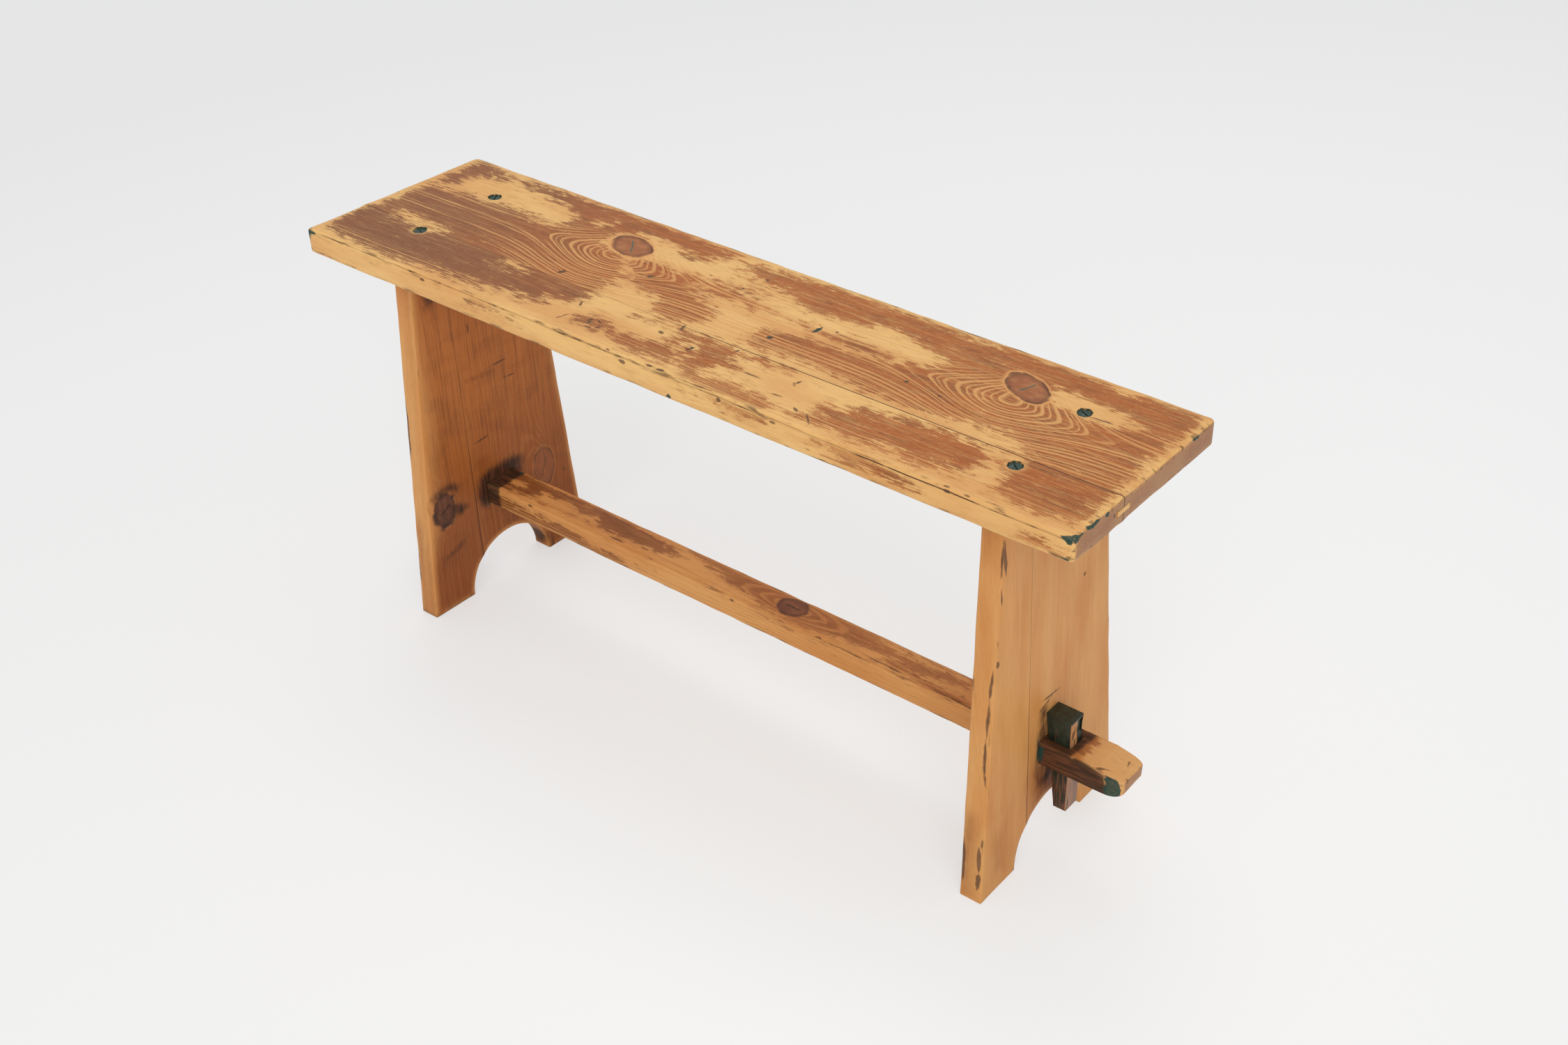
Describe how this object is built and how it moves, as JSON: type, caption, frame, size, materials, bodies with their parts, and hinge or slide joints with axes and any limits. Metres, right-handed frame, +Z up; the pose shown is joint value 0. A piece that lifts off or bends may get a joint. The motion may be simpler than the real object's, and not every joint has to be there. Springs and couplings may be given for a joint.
{
  "type": "bench",
  "caption": "Plain wooden bench: plank seat screwed on tapered board legs with arched feet, tied by a through stretcher locked with driven wedges.",
  "frame": {"origin": "on the floor under the middle of the seat", "axes": "+Z up, +X along the seat towards its right end, +Y towards its back edge"},
  "size_m": [0.993, 0.244, 0.464],
  "materials": {
    "seat_pine": "old oiled pine, stained and worn",
    "leg_pine": "old oiled pine",
    "tongue_pine": "raw pine",
    "stretcher_pine": "old oiled pine, stained",
    "painted_wood": "worn dark green paint over wood",
    "painted_steel": "steel under old green paint"
  },
  "bodies": {
    "root": {"seat_front_board": "seat_pine", "seat_rear_board": "seat_pine", "seat_tongue": "tongue_pine", "left_leg_front_board": "leg_pine", "left_leg_rear_board": "leg_pine", "left_leg_tongue": "tongue_pine", "right_leg_front_board": "leg_pine", "right_leg_rear_board": "leg_pine", "right_leg_tongue": "tongue_pine", "stretcher": "stretcher_pine", "seat_screw_left_front": "painted_steel", "seat_screw_left_rear": "painted_steel", "seat_screw_right_front": "painted_steel", "seat_screw_right_rear": "painted_steel"},
    "left_wedge": {"left_wedge": "painted_wood"},
    "right_wedge": {"right_wedge": "painted_wood"}
  },
  "joints": [
    {"name": "left_wedge_slide", "type": "slide", "parent": "root", "child": "left_wedge", "axis": [0, 0, 1], "range_m": [0, 0.086]},
    {"name": "right_wedge_slide", "type": "slide", "parent": "root", "child": "right_wedge", "axis": [0, 0, 1], "range_m": [0, 0.086]}
  ]
}
